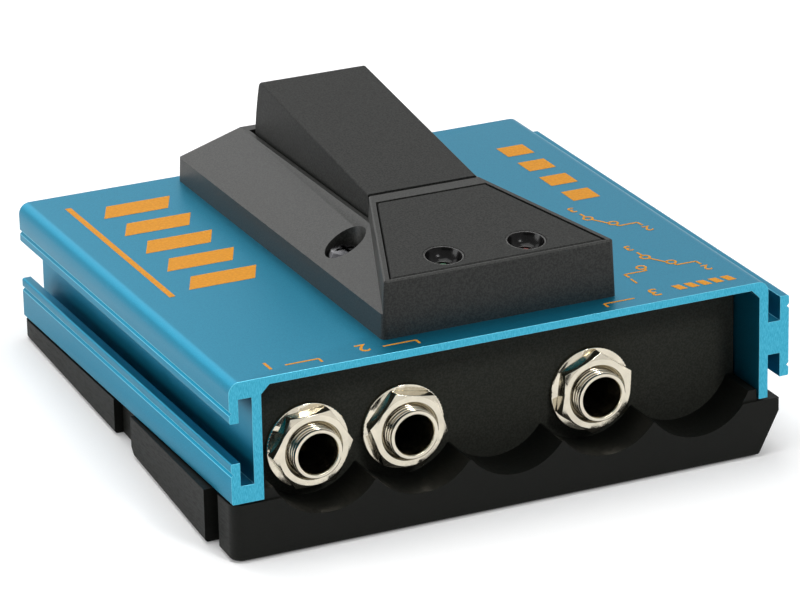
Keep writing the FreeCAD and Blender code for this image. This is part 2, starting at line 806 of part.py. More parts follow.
def make_housing():
    long_part = across(low_outline(0), housing_near, housing_far)
    crease = z_top + housing_low_wall
    high = z_top + 2 * housing_deck
    far_cut = sideways([(far_side(z_top), z_top), (far_side(crease), crease), (far_side(high), high),
                        (housing_far + 20, high), (housing_far + 20, z_top)], -50, 50)
    long_part = long_part.cut(far_cut)

    long_part = rounded(long_part, housing_far_radius,
                        lambda e: near(middle(e).y, far_side(middle(e).z)) and middle(e).z > crease + 1)
    head = head_block(0, housing_near, head_rear).common(under_head_top(0))
    outer = long_part.fuse(head).common(corner_block()).removeSplitter()

    def is_rim(edge):
        at = middle(edge)
        on_head = near(at.z, head_top(at.y), 0.1) and at.y < head_rear + 0.2
        return on_head and edge.Length > 0.5

    outer = bevelled(outer, housing_edge_bevel, is_rim)
    low_room = across(low_outline(housing_wall), housing_near + housing_wall, housing_far)
    low_room = low_room.cut(far_cut.translated(V(0, -housing_wall, 0)))
    head_room = head_block(housing_wall, housing_near + housing_wall, head_rear - housing_wall)
    head_room = head_room.common(under_head_top(head_roof))
    shell = outer.cut([low_room, head_room])
    room = low_room.fuse(head_room)
    fill = []
    foot = z_top + cheek_foot_gap
    for side in (-1, 1):
        inner = side * slot_half
        wall = side * (slot_half + cheek)
        fill.append(box(min(inner, wall), max(inner, wall), head_rear - 1, housing_far, foot, z_top + 30))
        fill.append(rod(housing_bore_radius + housing_boss_wall,
                        V(side * housing_screw_x, housing_screw_y, z_top), Z_AXIS, 30))
        fill.append(rod(rear_boss_radius, V(side * rear_screw_x, rear_screw_y, z_top), Z_AXIS, 30))
        fill.append(rod(post_radius, V(side * indicator_post_x, indicator_post_y, board_top_z), Z_AXIS, 30))
    bridge_low = spring_y - bridge_length / 2
    bridge_top = foot + bridge_thickness
    fill.append(box(-slot_half - 0.5, slot_half + 0.5, bridge_low, bridge_low + bridge_length, foot, bridge_top))
    spigot = rod(spigot_radius, V(0, spring_y, foot), Z_AXIS, bridge_thickness + spigot_height)
    shape = shell.fuse([piece.common(room) for piece in fill])
    slot = box(-slot_half, slot_half, head_rear, slot_far, bridge_top, z_top + 60)
    slot_low = [box(-slot_half, slot_half, head_rear, bridge_low, z_top - 1, z_top + 60),
                box(-slot_half, slot_half, bridge_low + bridge_length, slot_far, z_top - 1, z_top + 60)]
    shape = shape.cut([slot] + slot_low)
    shape = shape.fuse(spigot)
    recess = head_block(plate_inset - plate_gap, housing_near + plate_front - plate_gap,
                        head_rear - plate_rear + plate_gap)
    recess = recess.cut(under_head_top(plate_thickness))
    cuts = [recess]
    cuts.append(rod(pin_radius, V(-slot_half - 5, pivot_y, pivot_z), X_AXIS, 2 * slot_half + 10))
    seat = z_top + housing_seat_height
    for side in (-1, 1):
        at = V(side * housing_screw_x, housing_screw_y, seat)
        cuts.append(rod(housing_bore_radius, at, Z_AXIS, 20))
        cuts.append(rod(screw_radius + screw_hole_clearance, V(at.x, at.y, z_top - 1), Z_AXIS, 10))
        cuts.append(rod(screw_radius - 0.3, V(side * rear_screw_x, rear_screw_y, z_top - 1), Z_AXIS,
                        rear_screw_length - cover_top + 1))
        cuts.append(well_hole(side))
    shape = shape.cut(cuts).removeSplitter()
    return shape


def well_axis():
    tilt = math.atan(head_slope)
    return V(0, math.sin(tilt), -math.cos(tilt))


def well_centre(side):
    y = housing_near + well_place
    return V(well_shift + side * well_spacing / 2, y, head_top(y))


def well_hole(side):
    return rod(well_radius + well_clearance, well_centre(side) - well_axis() * 3, well_axis(), 12)


def make_plate():
    plate = head_block(plate_inset, housing_near + plate_front, head_rear - plate_rear)
    plate = plate.common(under_head_top(0)).cut(under_head_top(plate_thickness))
    plate = bevelled(plate, plate_bevel, lambda e: near(middle(e).z, head_top(middle(e).y)))
    return plate.cut([well_hole(-1), well_hole(1)])


def make_well(side):
    """A tapered bowl that holds a lamp at its bottom."""
    outline = [
        (well_radius - well_rim, 0),
        (well_radius, 0),
        (well_radius, well_length),
        (lamp_radius + well_clearance, well_length),
        (lamp_radius + well_clearance, well_depth),
    ]
    return turned(outline, well_centre(side), well_axis())


def make_lamp(side):
    axis = well_axis()
    tip = well_centre(side) + axis * (well_depth - lamp_dome * 0.3)
    outline = [
        (0, 0),
        (lamp_radius * 0.45, 0.15),
        (lamp_radius * 0.8, 0.45),
        (lamp_radius, lamp_dome),
        (lamp_radius, lamp_length - lamp_flange_height),
        (lamp_radius + lamp_flange, lamp_length - lamp_flange_height),
        (lamp_radius + lamp_flange, lamp_length),
        (0, lamp_length),
    ]
    lamp = turned(outline, tip, axis)
    foot = tip + axis * (lamp_length - 0.2)
    for lead in (-1, 1):
        start = foot + V(lead * lamp_lead_spread, 0, 0)
        drop = start.z - board_top_z + indicator_board_thickness / 2
        lamp = lamp.fuse(rod(lamp_lead_radius, start, Z_AXIS * -1, drop))
    return lamp


def indicator_board_box(low, high, half):
    front = housing_near + housing_wall + 0.4
    return box(-half, half, front, front + indicator_board_depth, low, high)


def make_indicator_board():
    board = indicator_board_box(board_low_z, board_top_z, indicator_board_half_width)
    for side in (-1, 1):
        foot_y = well_centre(side).y + well_axis().y * (well_depth - lamp_dome * 0.3 + lamp_length - 0.2)
        for lead in (-1, 1):
            x = well_centre(side).x + lead * lamp_lead_spread
            board = board.cut(rod(lamp_lead_radius + 0.1, V(x, foot_y, board_low_z - 1), Z_AXIS, 3))
    return board


def make_indicator_pad():
    pad = indicator_board_box(z_top, board_low_z, indicator_board_half_width)
    return pad.cut(rod(lead_hole_radius, V(0, lead_hole_y, z_top - 1), Z_AXIS, 3))


def pedal_side(inset):
    """The pedal's side view as a face at x = 0, drawn in by inset from top and far end."""
    reach = pedal_reach - inset
    drop = inset / math.cos(math.radians(pedal_slope))
    skirt = z_top + pedal_skirt
    low_rise = skirt - pivot_z
    far_low = V(0, pivot_y + math.sqrt(reach ** 2 - low_rise ** 2), skirt)
    start = pedal_top(pivot_y) - drop - pivot_z
    a = 1 + pedal_tangent ** 2
    b = start * pedal_tangent
    run = (-b + math.sqrt(b ** 2 - a * (start ** 2 - reach ** 2))) / a
    far_high = V(0, pivot_y + run, pivot_z + start + run * pedal_tangent)
    angle = (math.atan2(far_high.z - pivot_z, run) + math.atan2(low_rise, far_low.y - pivot_y)) / 2
    bulge = V(0, pivot_y + reach * math.cos(angle), pivot_z + reach * math.sin(angle))
    return far_low, bulge, far_high, drop


def make_pedal():
    far_low, bulge, far_high, drop = pedal_side(0)
    skirt = z_top + pedal_skirt
    near_top = V(0, pedal_near, pedal_near_top)
    near_side = V(0, pedal_near, pivot_z)
    under = V(0, pivot_y, pivot_z - hinge_barrel_radius)
    far_side = V(0, pivot_y + hinge_barrel_radius, pivot_z)
    step = V(0, pivot_y + hinge_barrel_radius, skirt)
    edges = [
        Part.LineSegment(near_side, near_top).toShape(),
        Part.LineSegment(near_top, far_high).toShape(),
        Part.Arc(far_high, bulge, far_low).toShape(),
        Part.LineSegment(far_low, step).toShape(),
        Part.LineSegment(step, far_side).toShape(),
        Part.Arc(far_side, under, near_side).toShape(),
    ]
    profile = Part.Face(Part.Wire(edges))
    profile.translate(V(-pedal_half_width, 0, 0))
    body = profile.extrude(V(2 * pedal_half_width, 0, 0))
    body = rounded(body, pedal_far_radius, lambda e: runs_along(e, X_AXIS)
                   and near(middle(e).y, far_high.y) and near(middle(e).z, far_high.z))
    body = rounded(body, pedal_edge_radius, lambda e: near(abs(middle(e).x), pedal_half_width)
                   and middle(e).z > skirt + 1 and middle(e).y > pedal_near + 0.2)
    in_low, in_bulge, in_high, in_drop = pedal_side(pedal_wall)
    room_near = pivot_y + hinge_block
    room_top = V(0, room_near, pedal_top(room_near) - in_drop)
    room_foot = V(0, room_near, z_top)
    room_far = V(0, in_low.y, z_top)
    room_edges = [
        Part.LineSegment(room_foot, room_top).toShape(),
        Part.LineSegment(room_top, in_high).toShape(),
        Part.Arc(in_high, in_bulge, in_low).toShape(),
        Part.LineSegment(in_low, room_far).toShape(),
        Part.LineSegment(room_far, room_foot).toShape(),
    ]
    room = Part.Face(Part.Wire(room_edges))
    room.translate(V(-pedal_half_width + pedal_wall, 0, 0))
    room = room.extrude(V(2 * (pedal_half_width - pedal_wall), 0, 0))
    body = body.cut(room)
    boss_length = pedal_top(switch_y) - in_drop - plunger_top + 0.5
    boss = turned(
        [(0, 0), (0.4 * pedal_boss_radius, 0.12 * pedal_boss_dome), (0.75 * pedal_boss_radius, 0.45 * pedal_boss_dome),
         (pedal_boss_radius, pedal_boss_dome), (pedal_boss_radius, boss_length), (0, boss_length)],
        V(0, switch_y, plunger_top + plunger_touch_gap), Z_AXIS)
    peg = rod(spigot_radius, V(0, spring_y, spring_top_z - spigot_height), Z_AXIS, spigot_height + 1)
    lip = box(-pedal_half_width + pedal_wall, pedal_half_width - pedal_wall, far_low.y - pedal_wall,
              far_low.y + stop_lip, lip_top - stop_lip_height, lip_top)
    body = body.fuse([boss, peg, lip]).removeSplitter()
    bore = rod(pin_radius + pin_clearance, V(-pedal_half_width - 1, pivot_y, pivot_z), X_AXIS,
               2 * pedal_half_width + 2)
    return body.cut(bore)


def make_pin():
    length = 2 * (slot_half + cheek)
    return rod(pin_radius, V(-length / 2, pivot_y, pivot_z), X_AXIS, length)


def make_spring():
    radius = spring_mean_radius
    low = bridge_top_z + spring_wire / 2 + spring_end_gap
    high = spring_top_z - spring_wire / 2 - spring_end_gap - spring_wire / 2
    pitch = (high - low) / spring_turns
    helix = Part.makeHelix(pitch, high - low, radius)
    start = V(radius, 0, 0)
    section = Part.Wire([Part.Circle(start, V(0, 2 * math.pi * radius, pitch), spring_wire / 2).toShape()])
    coil = Part.Wire(helix.Edges).makePipeShell([section], True, True)
    coil.translate(V(0, spring_y, low))
    return coil


def make_bumpers():
    pads = []
    for side in (-1, 1):
        outer = side * (slot_half - 0.2)
        inner = outer - side * bumper_width
        pad = box(min(inner, outer), max(inner, outer), bumper_y, bumper_y + bumper_length, z_top,
                  z_top + bumper_height)
        pads.append(rounded(pad, 0.6, lambda e: near(middle(e).z, z_top + bumper_height)))
    return pads


def make_switch_body():
    half = switch_body / 2
    body = box(-half, half, switch_y - half, switch_y + half, z_under - switch_body_height, z_under)
    body = rounded(body, 0.8, lambda e: runs_along(e, Z_AXIS))
    depth = plunger_top - plunger_length - (plunger_travel + plunger_over_travel)
    hole = rod(plunger_radius + 0.3, V(0, switch_y, depth), Z_AXIS, z_under - depth + 1)
    return body.cut(hole)


def make_bush():
    tall = cover_top + bush_height
    outline = [
        (plunger_radius + plunger_clearance, 0),
        (bush_radius, 0),
        (bush_radius, tall - 0.5),
        (bush_radius - 0.5, tall),
        (plunger_radius + plunger_clearance, tall),
    ]
    return turned(outline, V(0, switch_y, z_under), Z_AXIS)


def make_plunger():
    low = plunger_top - plunger_length
    piston = rod(plunger_radius, V(0, switch_y, low), Z_AXIS, plunger_length)
    return rounded(piston, 0.5, lambda e: near(middle(e).z, plunger_top))


def make_switch_washer():
    ring = rod(switch_washer_radius, V(0, switch_y, z_top), Z_AXIS, switch_washer)
    return ring.cut(rod(bush_radius + thread_clearance, V(0, switch_y, z_top - 1), Z_AXIS, 3))


def make_switch_nut():
    low = z_top + switch_washer
    nut = hexagon(switch_nut_across_flats, V(0, switch_y, low), Z_AXIS, switch_nut, 30)
    return nut.cut(rod(bush_radius + thread_clearance, V(0, switch_y, low - 1), Z_AXIS, switch_nut + 2))


def make_terminals():
    wide, thick, drop = terminal_size
    low = z_under - switch_body_height
    lugs = []
    for i in (-1, 0, 1):
        for j in (-1, 0, 1):
            x = i * terminal_pitch
            y = switch_y + j * terminal_pitch
            lugs.append(box(x - wide / 2, x + wide / 2, y - thick / 2, y + thick / 2, low - drop, low))
    return lugs


def make_housing_screws():
    seat = z_top + housing_seat_height
    return [pan_screw(V(side * housing_screw_x, housing_screw_y, seat), Z_AXIS * -1, housing_screw_length,
                      screw_radius, housing_head_radius, housing_head_height) for side in (-1, 1)]


def make_housing_nuts():
    nuts = []
    for side in (-1, 1):
        at = V(side * housing_screw_x, housing_screw_y, z_under - hidden_nut)
        nut = hexagon(hidden_nut_across_flats, at, Z_AXIS, hidden_nut)
        nuts.append(nut.cut(rod(screw_radius + thread_clearance, at, Z_AXIS, hidden_nut)))
    return nuts


def make_rear_screws():
    return [pan_screw(V(side * rear_screw_x, rear_screw_y, z_under), Z_AXIS, rear_screw_length,
                      screw_radius - 0.3, pan_head_radius, pan_head_height) for side in (-1, 1)]


def make_pillars():
    pillars = []
    for at in base_screw_places():
        start = V(at.x, at.y, base_height)
        tall = z_under - base_height
        pillar = hexagon(pillar_across_flats, start, Z_AXIS, tall, 30)
        pillars.append(pillar.cut(rod(screw_radius + thread_clearance, start, Z_AXIS, tall)))
    return pillars


def make_pillar_top_screws():
    return [pan_screw(V(at.x, at.y, z_top), Z_AXIS * -1, pillar_screw_length + cover_top, screw_radius,
                      pan_head_radius, pan_head_height) for at in base_screw_places()]


def make_base_screws():
    return [pan_screw(V(at.x, at.y, base_height - pillar_seat), Z_AXIS, pillar_screw_length + pillar_seat,
                      screw_radius, pan_head_radius, pan_head_height) for at in base_screw_places()]


def battery_left():
    return inner_right - battery_side_gap - battery_width


def make_battery():
    right = inner_right - battery_side_gap
    body = box(battery_left(), right, battery_near, battery_near + battery_length, battery_bed,
               battery_bed + battery_thickness)
    return rounded(body, battery_edge_radius, lambda e: runs_along(e, Y_AXIS))


def make_snap():
    right = inner_right - battery_side_gap - snap_side
    left = battery_left() + snap_side
    snap = box(left, right, battery_near - snap_thickness, battery_near, battery_bed + 2,
               battery_bed + battery_thickness - 2)
    return rounded(snap, 1.0, lambda e: runs_along(e, Y_AXIS) or near(middle(e).y, battery_near - snap_thickness))


def make_foam():
    right = inner_right - battery_side_gap - foam_margin
    return box(battery_left() + foam_margin, right, battery_near + foam_margin,
               battery_near + battery_length - foam_margin, battery_bed + battery_thickness, z_under)


def board_holes():
    left = board_left + board_corner
    right = board_left + board_width - board_corner
    return [V(x, y, 0) for x in (left, right)
            for y in (board_near + board_corner, board_near + board_length - board_corner)]


def make_circuit_board():
    board = box(board_left, board_left + board_width, board_near, board_near + board_length, board_height,
                board_height + board_thickness)
    for at in board_holes():
        board = board.cut(rod(board_screw_radius + screw_hole_clearance, V(at.x, at.y, board_height - 1), Z_AXIS, 5))
    return board


def make_board_screws():
    return [pan_screw(V(at.x, at.y, board_height + board_thickness), Z_AXIS * -1, board_screw_length,
                      board_screw_radius, board_head_radius, board_head_height) for at in board_holes()]


def make_components():
    """Resistors, capacitors, a relay and a plug on the circuit board."""
    z = board_height + board_thickness
    parts = []
    for i in range(4):
        y = board_near + 12.0 + 4.0 * i
        start = V(board_left + 5.5, y, z + resistor_radius)
        parts.append(rod(resistor_radius, start, X_AXIS, resistor_length))
    for i in range(2):
        foot = V(board_left + 17.0, board_near + 13.0 + 7.5 * i, z)
        parts.append(rod(capacitor_radius, foot, Z_AXIS, capacitor_height))
    relay_y = board_near + board_length - relay_far_margin
    parts.append(box(board_left + 6.0, board_left + 18.0, relay_y, relay_y + 5.0, z, z + relay_height))
    parts.append(box(plug_x - plug_half, plug_x + plug_half, plug_y - 3.0, plug_y + 3.0, z, z + plug_height))
    return parts


def make_battery_leads():
    z = board_height + board_thickness
    leads = []
    for spread in (-lead_pitch, lead_pitch):
        level = battery_bed + battery_thickness / 2 + spread
        start = V(battery_left() + snap_side, battery_near - snap_thickness / 2, level)
        y = board_near + lead_pad_y + spread
        pad_x = board_left + board_width - battery_pad_margin
        points = [start, V(pillar_x - 1.3, start.y, start.z), V(pillar_x / 2, pillar_near_y + spread, level),
                  V(-pillar_x / 2, pillar_near_y + 3.0 + spread, level), V(pad_x + 4.9, y - 5.0, z + 3.9),
                  V(pad_x, y, z + 3.9), V(pad_x, y, z)]
        leads.append(wire_tube(points, lead_radius))
    return leads


def make_indicator_leads():
    z = board_height + board_thickness
    leads = []
    for i in (-1, 0, 1):
        x = 1.45 * i
        points = [V(x, lead_hole_y, board_low_z), V(x, lead_hole_y, z_under - 4.0),
                  V(x - 2.0, lead_hole_y + 14.0, z_under - 4.7),
                  V(x - 10.0, board_near - 1.5, z + 9.0), V(plug_x + x, board_near + 0.5, z + 8.8),
                  V(plug_x + x, plug_y, z + 8.4), V(plug_x + x, plug_y, z + plug_height)]
        leads.append(wire_tube(points, lead_radius))
    return leads


def make_jack_leads():
    z = board_height + board_thickness
    end = panel_back + jack_flange + jack_body_length + contact_tail
    height = jack_height + jack_body_size / 2 - jack_body_wall - 0.1 - contact_thickness - lead_radius
    leads = []
    for order, place in enumerate(jack_names):
        x = jack_x(place)
        row = order * 1.6
        pad_x = board_left + 2.6 + row
        pad_y = board_near + 9.0
        points = [V(x, end - 1.0, height), V(x, end + 1.2, height),
                  V((x + board_left) / 2, board_near - 2.8 + row / 2, height + 0.6),
                  V(pad_x, board_near - 0.4, height + 0.6), V(pad_x, pad_y, height + 0.2), V(pad_x, pad_y, z)]
        leads.append(wire_tube(points, lead_radius))
    return leads


def finished(shape):
    """The shape tipped onto the wedge-shaped sole, with the origin under the middle."""
    tilt = FreeCAD.Rotation(X_AXIS, -wedge_angle)
    nearest = tilt.multVec(V(0, 0, 0)).y
    farthest = tilt.multVec(V(0, cover_length, z_top)).y
    leftmost = base_left - middle_block_near_stand
    rightmost = x_right + rail_reach
    shape = shape.copy()
    shape.Placement = FreeCAD.Placement(V(0, 0, 0), tilt).multiply(shape.Placement)
    shape.translate(V(-(leftmost + rightmost) / 2, -(nearest + farthest) / 2, sole_stand))
    return shape


def save(node, shapes):
    pieces = [finished(shape) for shape in (shapes if isinstance(shapes, list) else [shapes])]
    whole = pieces[0] if len(pieces) == 1 else Part.makeCompound(pieces)
    if not whole.isValid():
        print("not valid:", node)
    whole.exportStep("parts/" + node + ".step")
    box_of = whole.BoundBox
    print("%-20s %2d solids  %8.1f mm3  x %6.1f %6.1f  y %6.1f %6.1f  z %5.1f %5.1f" % (
        node, len(whole.Solids), whole.Volume, box_of.XMin, box_of.XMax, box_of.YMin, box_of.YMax,
        box_of.ZMin, box_of.ZMax))


def make_all():
    os.makedirs("parts", exist_ok=True)
    save("top_cover", make_cover())
    save("base", make_base())
    save("sole", make_sole())
    save("jack_panel", make_jack_panel())
    save("rear_panel", make_rear_panel())
    for place, name in jack_names.items():
        save("jack_bushing_" + name, make_bushing(place))
        save("jack_body_" + name, make_jack_body(place))
        save("tip_contact_" + name, make_contact(place))
    save("jack_nuts", [make_nut(place) for place in jack_names])
    save("jack_washers", [make_washer(place) for place in jack_names])
    save("pedal_housing", make_housing())
    save("indicator_plate", make_plate())
    for side, name in ((-1, "left"), (1, "right")):
        save("indicator_well_" + name, make_well(side))
        save("lamp_" + name, make_lamp(side))
    save("indicator_board", make_indicator_board())
    save("indicator_pad", make_indicator_pad())
    save("pedal", make_pedal())
    save("pedal_pin", make_pin())
    save("pedal_spring", make_spring())
    save("bumpers", make_bumpers())
    save("foot_switch_body", make_switch_body())
    save("foot_switch_bush", make_bush())
    save("foot_switch_plunger", make_plunger())
    save("foot_switch_washer", make_switch_washer())
    save("foot_switch_nut", make_switch_nut())
    save("foot_switch_terminals", make_terminals())
    save("housing_screws", make_housing_screws())
    save("housing_nuts", make_housing_nuts())
    save("housing_rear_screws", make_rear_screws())
    save("pillars", make_pillars())
    save("pillar_top_screws", make_pillar_top_screws())
    save("base_screws", make_base_screws())
    save("battery", make_battery())
    save("battery_snap", make_snap())
    save("battery_foam", make_foam())
    save("circuit_board", make_circuit_board())
    save("board_screws", make_board_screws())
    save("board_components", make_components())
    save("battery_leads", make_battery_leads())
    save("indicator_leads", make_indicator_leads())
    save("jack_leads", make_jack_leads())


make_all()
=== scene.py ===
"""The looks of the two-way selector foot pedal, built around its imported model.

Sizes are in millimetres on the device itself: X across the jacks, Y from the jack side to the
player's side, Z up, square to the cover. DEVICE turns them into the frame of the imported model.
"""
import math

import bmesh
import bpy
from mathutils import Matrix, Vector


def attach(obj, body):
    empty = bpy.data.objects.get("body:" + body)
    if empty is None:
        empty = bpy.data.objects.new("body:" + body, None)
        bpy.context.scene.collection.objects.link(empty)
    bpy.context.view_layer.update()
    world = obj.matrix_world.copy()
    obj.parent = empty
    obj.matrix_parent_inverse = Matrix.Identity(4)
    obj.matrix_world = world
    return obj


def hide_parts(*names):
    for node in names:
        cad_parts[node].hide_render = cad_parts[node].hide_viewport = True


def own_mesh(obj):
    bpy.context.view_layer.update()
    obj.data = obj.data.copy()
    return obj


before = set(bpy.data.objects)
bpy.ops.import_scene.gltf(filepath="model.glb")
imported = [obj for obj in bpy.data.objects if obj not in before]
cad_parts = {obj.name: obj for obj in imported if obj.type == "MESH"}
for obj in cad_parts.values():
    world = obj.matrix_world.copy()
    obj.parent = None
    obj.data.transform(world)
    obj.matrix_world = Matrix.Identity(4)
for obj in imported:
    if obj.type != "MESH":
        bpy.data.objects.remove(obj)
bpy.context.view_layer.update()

MM = 0.001
TIP = math.radians(4.0)
ORIGIN = Vector((0.65, -47.982, 0.3))
DEVICE = Matrix.Scale(MM, 4) @ Matrix.Translation(ORIGIN) @ Matrix.Rotation(-TIP, 4, "X")

# Sizes of the device, as in its construction
COVER_LENGTH = 94.0
COVER_TOP = 31.43
JACK_PITCH = 17.23
JACK_SHIFT = 0.28
JACK_PLACES = {"left": -2, "middle": -1, "right": 1}
JACK_HEIGHT = 14.7
BARREL_START = 3.3
BARREL_RADIUS = 4.5
SOCKET_RADIUS = 3.5
FLANGE_RADIUS = 6.0
FLANGE_THICKNESS = 1.0
PANEL_BACK = 10.5
WELL_SPACING = 15.0
WELL_SHIFT = -0.3
WELL_Y = 10.6
WELL_RADIUS = 3.4
WELL_DEPTH = 2.0
WELL_LENGTH = 4.0
LAMP_RADIUS = 1.5
HEAD_NEAR_Y, HEAD_FAR_Y = 5.5, 34.5
HEAD_NEAR_HEIGHT, HEAD_FAR_HEIGHT = 10.07, 13.72
HEAD_SLOPE = (HEAD_FAR_HEIGHT - HEAD_NEAR_HEIGHT) / (HEAD_FAR_Y - HEAD_NEAR_Y)
BATTERY_Y = 50.0

# The bushings' threads
THREAD_PITCH = 0.75
THREAD_RIDGE = 0.3

# The printed marks
MARK_RISE = 0.03
MARK_SINK = 0.02
STROKE = 0.42
RING_RADIUS = 0.8
RING_STEPS = 24

# Camera and stage, in metres and degrees
SENSOR = 36.0
LENS = 214.645
CAMERA_PLACE = (-0.31658629, -0.6734022, 0.36403193)
CAMERA_TURN = (65.02525945, -0.59455252, -24.99437376)
FLOOR_REACH = 4.0
FLOOR_LIFT = 0.12
WORLD_LIGHT = 0.12
LIGHT_TARGET = (0.0, 0.0, 0.02)


# Camera

def make_camera():
    data = bpy.data.cameras.new("camera")
    data.sensor_width = SENSOR
    data.lens = LENS
    data.clip_end = 20.0
    camera = bpy.data.objects.new("camera", data)
    bpy.context.scene.collection.objects.link(camera)
    camera.location = CAMERA_PLACE
    camera.rotation_euler = [math.radians(angle) for angle in CAMERA_TURN]
    bpy.context.scene.camera = camera


make_camera()


# Shader maths

class Value:
    """A socket of a shader tree that takes part in plain arithmetic."""

    def __init__(self, finish, socket):
        self.finish = finish
        self.socket = socket

    def _math(self, operation, first, second=0.0):
        return self.finish.node("ShaderNodeMath", {"operation": operation}, {0: first, 1: second})

    def __add__(self, other):
        return self._math("ADD", self, other)

    def __radd__(self, other):
        return self._math("ADD", other, self)

    def __sub__(self, other):
        return self._math("SUBTRACT", self, other)

    def __rsub__(self, other):
        return self._math("SUBTRACT", other, self)

    def __mul__(self, other):
        return self._math("MULTIPLY", self, other)

    def __rmul__(self, other):
        return self._math("MULTIPLY", other, self)

    def __abs__(self):
        return self._math("ABSOLUTE", self)

    def __pow__(self, other):
        return self._math("POWER", self, other)

    def highest(self, other):
        return self._math("MAXIMUM", self, other)


class Finish:
    """A material being made, read at places on the device in millimetres."""

    def __init__(self, name):
        self.material = bpy.data.materials.new(name)
        self.material.use_nodes = True
        self.tree = self.material.node_tree
        self.tree.nodes.clear()
        self.place = self._place()

    def node(self, kind, settings=None, sockets=None, output=0):
        made = self.tree.nodes.new(kind)
        for key, setting in (settings or {}).items():
            setattr(made, key, setting)
        for key, given in (sockets or {}).items():
            if isinstance(given, Value):
                self.tree.links.new(given.socket, made.inputs[key])
            else:
                made.inputs[key].default_value = given
        return Value(self, made.outputs[output]) if made.outputs else None

    def _place(self):
        """Where a point lies on the device, in millimetres."""
        seen = self.node("ShaderNodeTexCoord", output="Object")
        shift = Matrix.Rotation(TIP, 3, "X") @ -ORIGIN
        return self.node("ShaderNodeMapping", {"vector_type": "POINT"},
                         {"Vector": seen, "Location": shift, "Rotation": (TIP, 0.0, 0.0),
                          "Scale": (1 / MM, 1 / MM, 1 / MM)})

    def along(self, axis):
        """How far along one of the device's axes a point lies."""
        return self.node("ShaderNodeSeparateXYZ", None, {0: self.place}, output=axis)

    def stretched(self, scale, rotation=(0, 0, 0)):
        """Places for a pattern that is stretched and turned."""
        return self.node("ShaderNodeMapping", {"vector_type": "POINT"},
                         {"Vector": self.place, "Rotation": rotation, "Scale": scale})

    def noise(self, size, detail=2.0, roughness=0.5, places=None):
        """Noise from 0 to 1 whose lumps are about size millimetres wide."""
        return self.node("ShaderNodeTexNoise", {"noise_dimensions": "3D"},
                         {"Vector": places or self.place, "Scale": 1.0 / size, "Detail": detail,
                          "Roughness": roughness})

    def spots(self, size):
        """Distance from the nearest of scattered points, about size millimetres apart."""
        return self.node("ShaderNodeTexVoronoi", {"feature": "F1"},
                         {"Vector": self.place, "Scale": 1.0 / size})

    def ramp(self, factor, low, high):
        """0 below low, 1 above high, smooth between them."""
        return self.node("ShaderNodeMapRange", {"interpolation_type": "SMOOTHSTEP", "clamp": True},
                         {"Value": factor, "From Min": low, "From Max": high, "To Min": 0.0, "To Max": 1.0})

    def mix(self, factor, first, second):
        """A colour between two colours."""
        sockets = {0: factor}
        for key, colour in ((6, first), (7, second)):
            sockets[key] = colour if isinstance(colour, Value) else (*colour, 1.0)
        return self.node("ShaderNodeMix", {"data_type": "RGBA", "blend_type": "MIX"}, sockets, output=2)

    def bump(self, height, depth, strength):
        """A normal from a height of 0 to 1 that stands for depth millimetres."""
        return self.node("ShaderNodeBump", None, {"Height": height, "Distance": depth * MM, "Strength": strength})

    def done(self, **sockets):
        """Closes the tree with one principled shader; its sockets are named with underscores."""
        given = {}
        for key, value in sockets.items():
            given[key.replace("_", " ")] = (*value, 1.0) if isinstance(value, tuple) else value
        shader = self.node("ShaderNodeBsdfPrincipled", None, given)
        self.node("ShaderNodeOutputMaterial", None, {"Surface": shader})
        return self.material


def shade(tone, factor):
    """A tone made lighter or darker."""
    return tuple(factor * part for part in tone)


# Finishes

def anodised_cover():
    """Blue anodised aluminium: satin on the drawn faces, bright and sawn at the two ends."""
    f = Finish("anodised_blue")
    half = COVER_LENGTH / 2
    end = f.ramp(abs(f.along("Y") - half), half - 0.1, half - 0.02)
    grain = f.noise(0.16, 2.0, 0.6)
    drawn = f.noise(1.0, 2.0, 0.6, f.stretched((7.0, 0.05, 7.0)))
    satin = f.mix(f.ramp(grain, 0.3, 0.7), (0.004, 0.155, 0.25), (0.009, 0.19, 0.3))
    saw = f.noise(1.0, 2.0, 0.65, f.stretched((14.0, 1.0, 1.2), (0.0, math.radians(-40.0), 0.0)))
    cut = f.mix(f.ramp(saw, 0.3, 0.75), (0.02, 0.27, 0.4), (0.1, 0.46, 0.63))
    height = (1.0 - end) * (grain * 0.75 + drawn * 0.25) + end * saw
    return f.done(Base_Color=f.mix(end, satin, cut), Metallic=0.86, Roughness=0.4 - 0.05 * end,
                  Specular_IOR_Level=0.0, Normal=f.bump(height, 0.012, 0.6))


def moulded_black(name, tone, rough, sheen, grain_size=0.3, depth=0.03, strength=0.5, spread=0.6):
    """Black plastic with a spark-eroded grain; spread is how far its tone varies."""
    f = Finish(name)
    grain = f.noise(grain_size, 3.0, 0.6)
    colour = f.mix(f.ramp(grain, 0.35, 0.65), shade(tone, 1 - spread), shade(tone, 1 + spread))
    return f.done(Base_Color=colour, Roughness=rough + 0.08 * grain, Specular_IOR_Level=sheen,
                  Normal=f.bump(grain, depth, strength))


def rubber_black(name, tone, rough, sheen=0.2):
    """Dull black rubber with fine scuffs."""
    f = Finish(name)
    grain = f.noise(0.3, 3.0, 0.65)
    scuff = f.noise(1.0, 3.0, 0.7, f.stretched((0.5, 0.5, 3.0)))
    colour = f.mix(f.ramp(grain, 0.3, 0.75), shade(tone, 0.8), shade(tone, 1.25))
    colour = f.mix(0.5 * f.ramp(scuff, 0.7, 0.85), colour, shade(tone, 2.2))
    return f.done(Base_Color=colour, Roughness=rough + 0.1 * f.ramp(scuff, 0.4, 0.7),
                  Specular_IOR_Level=sheen, Normal=f.bump(grain, 0.03, 0.5))


